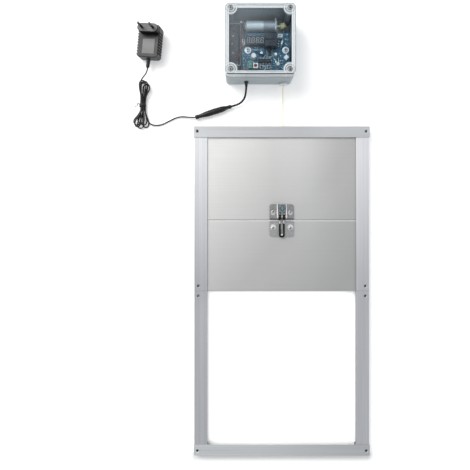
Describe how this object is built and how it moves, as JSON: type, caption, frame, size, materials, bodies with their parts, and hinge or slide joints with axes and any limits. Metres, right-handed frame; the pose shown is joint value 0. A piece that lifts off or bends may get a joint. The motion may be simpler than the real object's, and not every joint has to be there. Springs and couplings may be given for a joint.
{
  "type": "automatic coop door",
  "caption": "Automatic sliding coop door: aluminium frame and two-sheet leaf with latch, pull cord, motor control box with clear cover, and mains adapter.",
  "frame": {"origin": "centre of the frame's four corner fixing holes, on the wall plane at the back of the frame and of the box", "axes": "+Y up the wall, the way the leaf opens; +Z away from the wall, out of the front; +X to the right seen from the front"},
  "size_m": [0.4054, 0.7501, 0.06],
  "materials": {
    "bar_aluminium": "brushed along its length",
    "channel_aluminium": "extruded, fine lines along its length",
    "leaf_aluminium": "mill finish sheet",
    "bright_steel": "bright plated",
    "dark_steel": "blackened wire",
    "screw_steel": "zinc plated",
    "cream_cord": "braided",
    "grey_plastic": "moulded",
    "box_plastic": "moulded, fine grain",
    "clear_cover": "clear polycarbonate",
    "black_rubber": "matt",
    "black_plastic": "satin",
    "motor_steel": "plated, turned",
    "white_plastic": "moulded",
    "brass": "turned",
    "board_blue": "solder mask",
    "display_black": "smoked face",
    "relay_dark": "moulded",
    "chip_black": "epoxy",
    "component_white": "mixed parts",
    "green_plastic": "moulded",
    "trimmer_white": "moulded",
    "trimmer_red": "moulded",
    "cell_sleeve": "shrink sleeve",
    "red_wire": "PVC",
    "lead_black": "PVC",
    "adapter_plastic": "fine grain",
    "pin_nickel": "nickel plated tips, black sleeves"
  },
  "bodies": {
    "root": {"adapter_case_front": "adapter_plastic", "adapter_case_rear": "adapter_plastic", "adapter_pins": "pin_nickel", "adapter_strain_relief": "black_plastic", "battery_cell": "cell_sleeve", "battery_contacts": "bright_steel", "battery_holder": "black_plastic", "board_connectors": "white_plastic", "bottom_bar": "bar_aluminium", "box_base": "box_plastic", "box_cover": "clear_cover", "button_housings": "bright_steel", "cable_grommet": "black_plastic", "channel_left_lower": "channel_aluminium", "channel_left_upper": "channel_aluminium", "channel_right_lower": "channel_aluminium", "channel_right_upper": "channel_aluminium", "channel_splices": "bar_aluminium", "circuit_board": "board_blue", "cord_bushing": "grey_plastic", "cover_screws": "screw_steel", "cover_seal": "black_rubber", "dc_plug": "black_plastic", "dc_socket": "black_plastic", "display": "display_black", "gearbox_housing": "motor_steel", "hank_tie": "lead_black", "inner_screws": "screw_steel", "integrated_circuits": "chip_black", "lead_adapter_side": "lead_black", "lead_hank": "lead_black", "lead_plug_side": "lead_black", "light_sensor": "component_white", "motor_bracket": "bright_steel", "motor_can": "motor_steel", "motor_end_cap": "white_plastic", "passive_components": "component_white", "pigtail_cord": "lead_black", "pull_cord": "cream_cord", "relays": "relay_dark", "terminal_block": "green_plastic", "top_bar": "bar_aluminium", "trimmer_bodies": "trimmer_white", "wiring": "red_wire"},
    "leaf": {"leaf_upper": "leaf_aluminium", "leaf_lower": "leaf_aluminium", "latch_base": "bright_steel", "latch_pivot_rivets": "bright_steel", "latch_keeper": "bright_steel", "latch_screws": "screw_steel", "cord_knot": "cream_cord"},
    "latch_lever": {"latch_lever": "bright_steel"},
    "latch_bail": {"latch_bail": "dark_steel"},
    "spool": {"output_shaft": "bright_steel", "cord_spool": "brass", "wound_cord": "cream_cord"},
    "button_left": {"button_left": "black_plastic"},
    "button_right": {"button_right": "black_plastic"},
    "trimmer_rotor_large": {"trimmer_rotor_large": "trimmer_red"},
    "trimmer_rotor_small": {"trimmer_rotor_small": "trimmer_white"}
  },
  "joints": [
    {"name": "door_slide", "type": "slide", "parent": "root", "child": "leaf", "axis": [0, -1, 0], "range_m": [0, 0.27], "deforming": ["pull_cord"]},
    {"name": "spool_turn", "type": "hinge", "parent": "root", "child": "spool", "pos_m": [0, 0.447, 0.022], "axis": [-1, 0, 0], "range_deg": [0, 3920]},
    {"name": "latch_lever_hinge", "type": "hinge", "parent": "leaf", "child": "latch_lever", "pos_m": [0, 0.1265, 0.014], "axis": [1, 0, 0], "range_deg": [0, 100]},
    {"name": "latch_bail_hinge", "type": "hinge", "parent": "latch_lever", "child": "latch_bail", "pos_m": [0, 0.131, 0.0128], "axis": [1, 0, 0], "range_deg": [-111, 0]},
    {"name": "button_left_press", "type": "slide", "parent": "root", "child": "button_left", "axis": [0, 0, -1], "range_m": [0, 0.0003], "stiffness_N_per_m": 4000},
    {"name": "button_right_press", "type": "slide", "parent": "root", "child": "button_right", "axis": [0, 0, -1], "range_m": [0, 0.0003], "stiffness_N_per_m": 4000},
    {"name": "trimmer_large_turn", "type": "hinge", "parent": "root", "child": "trimmer_rotor_large", "pos_m": [-0.046, 0.3752, 0.037], "axis": [0, 0, 1], "range_deg": [-135, 135]},
    {"name": "trimmer_small_turn", "type": "hinge", "parent": "root", "child": "trimmer_rotor_small", "pos_m": [0.005, 0.389, 0.037], "axis": [0, 0, 1], "range_deg": [-105, 105]}
  ],
  "couplings": [
    {"joint": "spool_turn", "follows": "door_slide", "rad_per_m": 253},
    {"joint": "latch_bail_hinge", "follows": "latch_lever_hinge", "ratio": -1.1}
  ]
}
